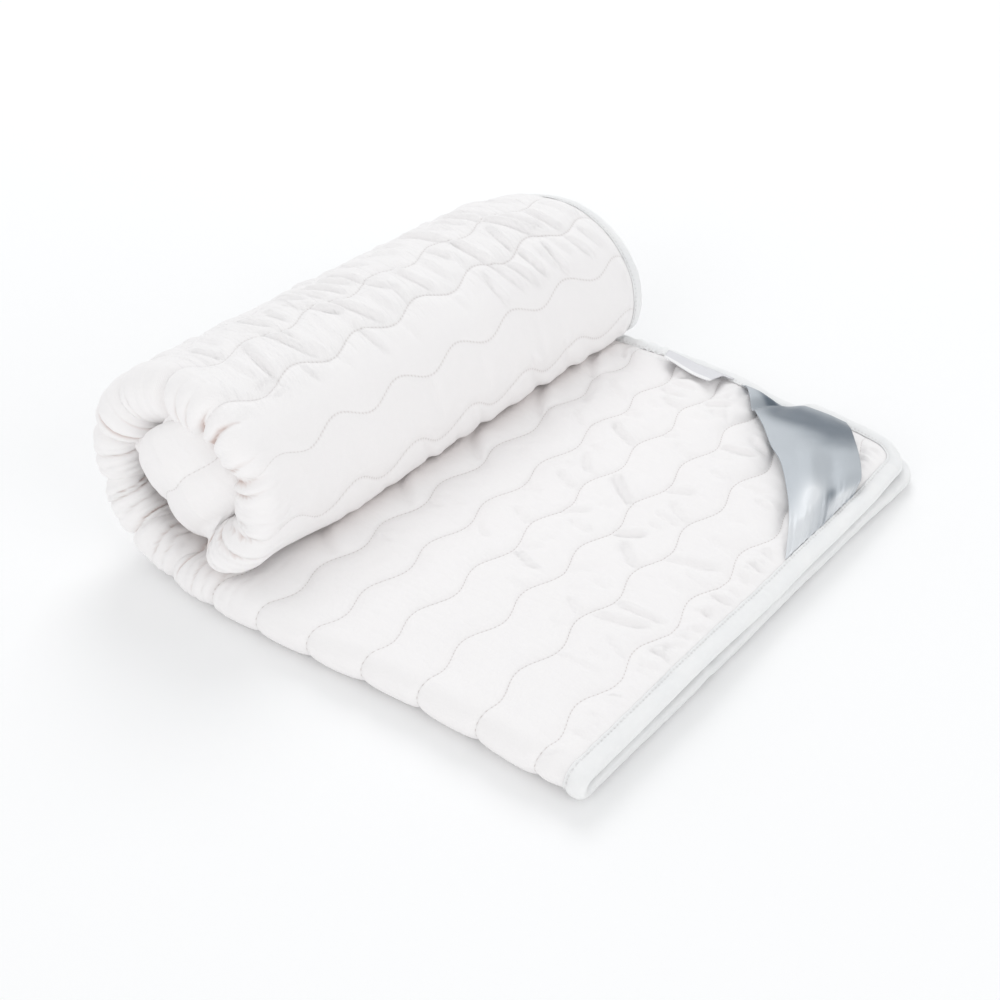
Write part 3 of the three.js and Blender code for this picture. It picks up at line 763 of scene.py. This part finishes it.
def lozenges(name, starts, ends, ups, width, rise):
    """Many stitches as one mesh: each a slim lozenge that stands a little out of the cloth."""
    starts, ends, ups = np.vstack(starts), np.vstack(ends), np.vstack(ups)
    side = np.cross(ends - starts, ups)
    side /= np.linalg.norm(side, axis=1)[:, None] + 1e-9
    side *= width
    mid = (starts + ends) / 2
    verts = np.stack([starts, mid + side, mid + ups * rise, mid - side, mid - ups * rise * 0.6, ends], 1)
    base = np.array([[0, 1, 2], [0, 2, 3], [0, 3, 4], [0, 4, 1], [5, 2, 1], [5, 3, 2], [5, 4, 3], [5, 1, 4]])
    faces = (base[None] + (np.arange(len(starts)) * 6)[:, None, None]).reshape(-1, 3)
    return new_object(name, verts.reshape(-1, 3), faces.tolist())


def surface_points(s, u, h):
    """Places at a height over the mat, and the way up there."""
    p = form(s, u, h)
    up = form(s, u, h + 1) - p
    return p, up / np.linalg.norm(up, axis=-1)[..., None]


def on_seam(k, run):
    """Places on the cloth at lengths along a seam, and the way up there."""
    u = np.interp(run, RUNS[k], RUN_AT)
    s = seam(k, u)
    h = relief(s, u, np.zeros_like(u), np.full_like(u, CHANNEL)) + loose(s, u)
    return surface_points(s, u, h + 0.05)


def build_stitches():
    starts, ends, ups = [], [], []
    for k, run in enumerate(RUNS):
        first, last = np.interp((-STITCHED_TO, STITCHED_TO), RUN_AT, run)
        first = np.ceil(first / STITCH_PITCH) * STITCH_PITCH + 0.2 * STITCH_PITCH
        at_run = np.arange(first, last - STITCH_PITCH, STITCH_PITCH)
        start, up = on_seam(k, at_run)
        end, _ = on_seam(k, at_run + 0.6 * STITCH_PITCH)
        starts.append(start)
        ends.append(end)
        ups.append(up)
    return lozenges("seam_stitches", starts, ends, ups, 0.3, 0.28)


def build_tape_stitches():
    s, u, ds, du = rim_points(TAPE_PITCH).T
    a, b = s - ds * TAPE_ROW, u - du * TAPE_ROW
    stand = loose(np.clip(a, 2, LENGTH), b)
    starts, ends, ups = [], [], []
    for side in (1, -1):
        start, up = surface_points(a, b, side * 4.15 + stand)
        step = np.roll(start, -1, 0) - start
        gap = np.linalg.norm(step, axis=1)
        ok = (gap > 1.2) & (gap < 6)
        starts.append(start[ok])
        ends.append((start + step * 0.68)[ok])
        ups.append((up * side)[ok])
    return lozenges("tape_stitches", starts, ends, ups, 0.32, 0.35)


def sheet_mesh(name, top, thickness, uv):
    """A closed thin sheet from a grid of points."""
    n, m = top.shape[:2]
    verts = np.vstack([top.reshape(-1, 3), (top - grid_normals(top) * thickness).reshape(-1, 3)])
    index = np.arange(n * m).reshape(n, m)
    back = index + n * m
    around = ((0, 0), (0, 1), (1, 1), (1, 0))
    quads = [index[i:n - 1 + i, j:m - 1 + j] for i, j in around]
    quads += [back[j:n - 1 + j, i:m - 1 + i] for i, j in around]
    rim = grid_rim(n, m)
    walls = [(index[a], back[a], back[b], index[b]) for a, b in zip(rim, rim[1:] + rim[:1])]
    faces = np.vstack([np.stack(quads, -1).reshape(-1, 4), walls]).tolist()
    return face_outward(new_object(name, verts, faces, uv=np.vstack([uv.reshape(-1, 2)] * 2)))


def grid_normals(p):
    """The way up at each point of a grid."""
    n = np.cross(np.gradient(p, axis=0), np.gradient(p, axis=1))
    n /= np.linalg.norm(n, axis=-1)[..., None] + 1e-9
    return n * np.sign(n[..., 2:3] + 1e-9)


# The band's two free edges, from the long edge to the free end: reach from the free end, and how far
# inward from the long edge
BAND_INNER = np.array([(160, 15), (146, 29), (126, 53), (106, 73), (88, 93), (69, 110), (47, 138), (33, 160),
                       (15.5, 192)], float)
BAND_OUTER = np.array([(67, 15), (59, 21), (51, 29), (43, 39), (35, 49), (27.5, 59), (21, 69), (16.5, 78),
                       (15.2, 89)], float)
# Metres of cloth that the uv coordinates of band and label span
BAND_SPAN = (0.22, 0.1)
LABEL_SPAN = (0.06, 0.035)


def along_curve(points, t):
    """A smooth course through the points, t from 0 to 1."""
    x = t * (len(points) - 1)
    i = np.clip(x.astype(int), 0, len(points) - 2)
    f = (x - i)[..., None]
    a, b = points[np.maximum(i - 1, 0)], points[i]
    c, d = points[i + 1], points[np.minimum(i + 2, len(points) - 1)]
    return 0.5 * (2 * b + (c - a) * f + (2 * a - 5 * b + 4 * c - d) * f**2 + (3 * b - a - 3 * c + d) * f**3)


def build_band():
    """The satin band over the far corner, from the long edge (t = 0) to the free end (t = 1)."""
    t, c = np.meshgrid(np.linspace(0, 1, 150), np.linspace(0, 1, 84), indexing="ij")
    p = along_curve(BAND_INNER, t) * (1 - c[..., None]) + along_curve(BAND_OUTER, t) * c[..., None]
    reach, u = p[..., 0], p[..., 1] - HALF_WIDTH
    lift = 9.4 + 5.6 * np.sin(np.pi * t) ** 0.8 * (1 - 0.35 * c)
    # a crease runs aslant from the long edge to the inner free edge, with a raised flap beyond it
    aslant = t - 0.23 + 0.38 * c
    lift = lift - 4.2 * bell(aslant, 0.021) * ramp(c, 0.66, 0.41)
    lift = lift + 2.6 * bell(aslant + 0.09, 0.06) * ramp(c, 0.6, 0.3)
    # a soft ridge and a hollow below
    lift = lift + 2.2 * bell(c - 0.36 - 0.1 * np.sin(5 * t), 0.13) * ramp(t, 0.45, 0.65)
    lift = lift - 1.3 * bell(c - 0.62 + 0.25 * (t - 0.7), 0.09) * ramp(t, 0.5, 0.7)
    lift = lift + 1.2 * bell(t - 0.62, 0.08) * bell(c, 0.3)
    # both ends go under the tape, gathered
    from_end = np.minimum(t, 1 - t)
    h = 5.0 + (lift - 5.0) * smooth(from_end / 0.1)
    gather = 2.5 * noise(c * 26 + 1.5 * t, t * 4, 71) * bell(1 - t, 0.11) * (0.35 + 0.65 * ramp(c, 0.2, 0.45))
    gather = gather + 0.8 * noise(c * 12, t * 3, 72) * bell(t, 0.07)
    h = h + gather * smooth(from_end / 0.02) + 0.35 * noise(t * 9, c * 6, 73)
    p = form(reach, u, h + loose(reach, u))
    return sheet_mesh("band_cloth", p, 0.7, np.stack([t, c], -1) * BAND_SPAN)


def build_label():
    """The label, from the tape (t = 0) to its loose hem (t = 1)."""
    c, t = np.meshgrid(np.linspace(0, 1, 60), np.linspace(0, 1, 34), indexing="ij")
    s = 231 - 3 * t - (62 - 11 * t) * c
    u = 12.5 + (19.5 + 11 * c) * t - HALF_WIDTH
    h = 5.9 + 7.1 * smooth(t / 0.5) + 2.0 * (1 - c) * np.sin(np.pi * t)
    h = h + 0.9 * np.sin(2.2 * np.pi * c + 0.6) * t + 0.3 * noise(c * 6, t * 4, 75)
    h = h + 0.7 * bell(t - 0.97, 0.03) - 0.5 * bell(t - 0.9, 0.02)
    p = form(s, u, h + loose(s, u))
    return sheet_mesh("label_cloth", p, 0.6, np.stack([c, t], -1) * LABEL_SPAN)


# Materials
class Shader:
    """A material. Each method adds a node and gives the socket that its result comes out of."""

    def __init__(self, name):
        self.material = bpy.data.materials.new(name)
        self.material.use_nodes = True
        self.tree = self.material.node_tree

    def fill(self, node, inputs):
        """Link results to a node's inputs. Constants are set on them."""
        for key, value in inputs.items():
            socket = node.inputs[key]
            if isinstance(value, bpy.types.NodeSocket):
                self.tree.links.new(value, socket)
            else:
                socket.default_value = (*value, 1) if socket.type == "RGBA" else value

    def add(self, kind, inputs=None, **settings):
        node = self.tree.nodes.new("ShaderNode" + kind)
        for key, value in settings.items():
            setattr(node, key, value)
        self.fill(node, inputs or {})
        return node.outputs

    def finish(self, inputs):
        self.fill(self.tree.nodes["Principled BSDF"], inputs)
        return self.material

    def coordinates(self, kind="UV"):
        return self.add("TexCoord")[kind]

    def attribute(self, name):
        return self.add("Attribute", attribute_name=name)["Fac"]

    def split(self, vector):
        return self.add("SeparateXYZ", {0: vector})

    def math(self, operation, *values):
        return self.add("Math", dict(enumerate(values)), operation=operation)[0]

    def times(self, a, b):
        return self.math("MULTIPLY", a, b)

    def plus(self, a, b):
        return self.math("ADD", a, b)

    def wave(self, kind, value, pitch):
        return self.math(kind, self.times(value, 2 * math.pi / pitch))

    def noise(self, vector, scale, detail=2.0):
        return self.add("TexNoise", {"Vector": vector, "Scale": scale, "Detail": detail})[0]

    def mix(self, share, a, b):
        return self.add("Mix", {0: share, 6: a, 7: b}, data_type="RGBA")[2]

    def ramp(self, value, start, end, kind="LINEAR"):
        inputs = {"Value": value, "From Min": start, "From Max": end}
        return self.add("MapRange", inputs, interpolation_type=kind)[0]

    def bump(self, height, strength, distance, **under):
        return self.add("Bump", {"Height": height, "Strength": strength, "Distance": distance, **under})[0]

    def weave(self, uv, pitch):
        """A plain weave's height: two crossing sets of threads."""
        axes = self.split(uv)
        return self.times(self.wave("SINE", axes[0], pitch), self.wave("SINE", axes[1], pitch))

    def spots(self, along, side, places, total):
        """Soft round spots on the band, added up."""
        for at_along, at_side, long, wide in places:
            a = self.times(self.math("SUBTRACT", along, at_along), 1 / long)
            c = self.times(self.math("SUBTRACT", side, at_side), 1 / wide)
            square = self.plus(self.times(a, a), self.times(c, c))
            total = self.plus(total, self.math("EXPONENT", self.times(square, -1.0)))
        return total


def pad_material():
    """Off-white brushed cloth, with painted shade in the sewn lines' grooves and needle holes and painted
    warm shade in the tucks and crevices.
    """
    look = Shader("pad_cloth")
    uv = look.coordinates()
    tone = look.noise(uv, 14.0, 3.0)
    fibre = look.noise(uv, 900.0, 3.0)
    base = look.mix(tone, (0.93, 0.912, 0.909), (0.952, 0.936, 0.933))
    base = look.mix(look.times(fibre, 0.2), base, (0.89, 0.868, 0.864))
    # painted warm shade in the tucks, crevices and beside the roll
    base = look.mix(look.times(look.attribute("painted_crevice_shade"), 0.8), base, (0.6, 0.45, 0.4))
    # painted shade at the needle holes, at the pitch of the stitches
    needle_hole_shade = look.wave("COSINE", look.attribute("stitch"), 1)
    needle_hole_shade = look.math("MAXIMUM", look.math("MULTIPLY_ADD", needle_hole_shade, 0.62, 0.3), 0.2)
    # painted shade in the sewn lines' grooves, darkest at the needle holes
    line = look.math("POWER", look.attribute("groove"), 2.4)
    base = look.mix(look.times(line, needle_hole_shade), base, (0.42, 0.34, 0.31))
    # fibres and threads, a soft unevenness, and fine wrinkles that run round the roll
    threads = look.times(look.weave(uv, 0.0011), 0.4)
    normal = look.bump(look.plus(look.times(fibre, 1.2), threads), 0.35, 0.0004)
    normal = look.bump(look.noise(uv, 160.0, 3.0), 0.25, 0.0012, Normal=normal)
    turned = look.add("Mapping", {"Vector": uv, "Rotation": (0, 0, -0.32), "Scale": (38, 210, 1)})[0]
    streaks = look.times(look.noise(turned, 1.0), look.attribute("crumple"))
    normal = look.bump(streaks, 0.8, 0.0024, Normal=normal)
    return look.finish({"Base Color": base, "Roughness": 0.92, "Specular IOR Level": 0.25,
                        "Sheen Weight": 0.12, "Sheen Roughness": 0.6, "Normal": normal})


def tape_material():
    """Smooth woven tape, with painted shade in the dips between the stitches of its sewn row."""
    look = Shader("edge_tape")
    uv = look.coordinates()
    base = look.mix(look.noise(uv, 38.0, 3.0), (0.875, 0.888, 0.895), (0.985, 0.98, 0.97))
    axes = look.split(uv)
    # painted shade in the dips between the sewn row's stitches
    stitch_dip_shade = look.math("MAXIMUM", look.wave("COSINE", axes[0], TAPE_PITCH / 1000), 0.0)
    off_row = look.times(look.plus(axes[1], TAPE_ROW / 1000), 1 / 0.0011)
    beside = look.math("SUBTRACT", 1.0, look.times(off_row, off_row))
    stitch_dip_shade = look.times(stitch_dip_shade, look.math("MAXIMUM", beside, 0.0))
    base = look.mix(look.times(stitch_dip_shade, 0.25), base, (0.5, 0.49, 0.49))
    normal = look.bump(look.weave(uv, 0.0009), 0.4, 0.0003)
    return look.finish({"Base Color": base, "Roughness": 0.7, "Specular IOR Level": 0.35,
                        "Sheen Weight": 0.1, "Normal": normal})


def thread_material():
    look = Shader("thread")
    tone = look.noise(look.coordinates("Object"), 300.0)
    base = look.mix(tone, (0.86, 0.84, 0.835), (0.93, 0.915, 0.91))
    return look.finish({"Base Color": base, "Roughness": 0.6})


# Spots on the band, as shares of its length and width: place along it and across it, and reach each way
# The slate spots are partly the band's own tone and partly painted dark reflection
SLATE_AND_REFLECTION_SPOTS = ((0.3, 0.85, 0.24, 0.5), (0.24, 0.35, 0.1, 0.3), (0.87, 0.56, 0.08, 0.09),
               (0.1, 0.28, 0.05, 0.14))
# The bright spots are painted highlights
PAINTED_HIGHLIGHT_SPOTS = ((0.81, 0.3, 0.07, 0.13), (1.0, 0.1, 0.16, 0.3), (0.95, 0.75, 0.06, 0.2))


def satin_material():
    """Silver satin that turns to slate, partly its own tone and partly painted dark reflection, with painted
    highlights where it is drawn to the tape.
    """
    look = Shader("satin_band")
    uv = look.coordinates()
    axes = look.split(uv)
    along, side = look.times(axes[0], 1 / BAND_SPAN[0]), look.times(axes[1], 1 / BAND_SPAN[1])
    uneven = look.math("MULTIPLY_ADD", look.noise(uv, 22.0), 0.5, -0.2)
    # slate: partly the band's own tone, partly painted dark reflection
    slate = look.ramp(look.spots(along, side, SLATE_AND_REFLECTION_SPOTS, uneven), 0.1, 1.2, "SMOOTHSTEP")
    base = look.mix(slate, (0.47, 0.505, 0.54), (0.12, 0.15, 0.185))
    # painted highlights
    painted_highlight = look.math("MINIMUM", look.spots(along, side, PAINTED_HIGHLIGHT_SPOTS, 0.0), 0.75)
    base = look.mix(painted_highlight, base, (0.86, 0.88, 0.9))
    normal = look.bump(look.noise(uv, 60.0, 3.0), 0.25, 0.0015)
    normal = look.bump(look.weave(uv, 0.0006), 0.2, 0.0002, Normal=normal)
    return look.finish({"Base Color": base, "Metallic": 0.22, "Roughness": 0.42, "Anisotropic": 0.5,
                        "Sheen Weight": 0.2, "Normal": normal})


def label_material():
    """White ribbon. The turned hem is brighter."""
    look = Shader("label_ribbon")
    uv = look.coordinates()
    base = look.mix(look.noise(uv, 60.0, 3.0), (0.72, 0.72, 0.745), (0.78, 0.78, 0.8))
    hem = look.ramp(look.split(uv)[1], 0.0292, 0.0304)
    base = look.mix(hem, base, (0.95, 0.95, 0.955))
    normal = look.bump(look.weave(uv, 0.0007), 0.3, 0.0002)
    return look.finish({"Base Color": base, "Roughness": 0.5, "Normal": normal})


def floor_material():
    look = Shader("floor")
    return look.finish({"Base Color": (0.975, 0.975, 0.975), "Roughness": 0.8})


# Build
pad = build_pad()
binding = build_binding()
stitches = build_stitches()
tape_stitches = build_tape_stitches()
band = build_band()
label = build_label()

cloth, tape, thread = pad_material(), tape_material(), thread_material()
for piece, look in ((pad, cloth), (binding, tape), (stitches, thread), (tape_stitches, thread),
                    (band, satin_material()), (label, label_material())):
    piece.data.materials.append(look)
    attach(piece, "root")

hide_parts("pad")
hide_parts("binding")
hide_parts("corner_band")
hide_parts("care_label")

# Room, light and camera
floor_mesh = bpy.data.meshes.new("floor")
floor_mesh.from_pydata([(-6, -6, 0), (6, -6, 0), (6, 6, 0), (-6, 6, 0)], [], [(0, 1, 2, 3)])
floor = put("floor", floor_mesh)
floor_mesh.materials.append(floor_material())

world = bpy.data.worlds.new("studio")
bpy.context.scene.world = world
world.use_nodes = True
background = world.node_tree.nodes["Background"]
background.inputs["Color"].default_value = (0.98, 0.99, 1.0, 1)
background.inputs["Strength"].default_value = 0.78


def area_light(name, where, size, power, colour):
    """A square light that is aimed at the mat's middle."""
    light = bpy.data.lights.new(name, "AREA")
    light.shape = "SQUARE"
    light.size = size
    light.energy = power
    light.color = colour
    o = put(name, light)
    o.location = where
    o.rotation_euler = (Vector((0, 0, 0.05)) - Vector(where)).to_track_quat("-Z", "Y").to_euler()


area_light("key", (-2.2, 2.7, 3.4), 2.3, 57, (0.98, 0.99, 1.0))
area_light("side", (3.6, 0.0, 1.8), 2.6, 20, (1.0, 0.99, 0.985))
area_light("front", (0.2, -3.8, 1.3), 2.6, 20, (1.0, 0.99, 0.985))

camera_data = bpy.data.cameras.new("camera")
camera_data.sensor_width = 36
camera_data.lens = 1.414 * camera_data.sensor_width
camera_data.clip_start = 0.01
camera = put("camera", camera_data)
azimuth, elevation, turn = np.radians((38.67, 35.92, -0.42))
camera.location = to_frame((317.9, -520.5, 644.0))
forward = Vector((-math.sin(azimuth) * math.cos(elevation), math.cos(azimuth) * math.cos(elevation),
                  -math.sin(elevation)))
camera.rotation_mode = "QUATERNION"
camera.rotation_quaternion = forward.to_track_quat("-Z", "Y") @ Matrix.Rotation(-turn, 4, "Z").to_quaternion()
bpy.context.scene.camera = camera
bpy.context.scene.view_settings.view_transform = "Standard"
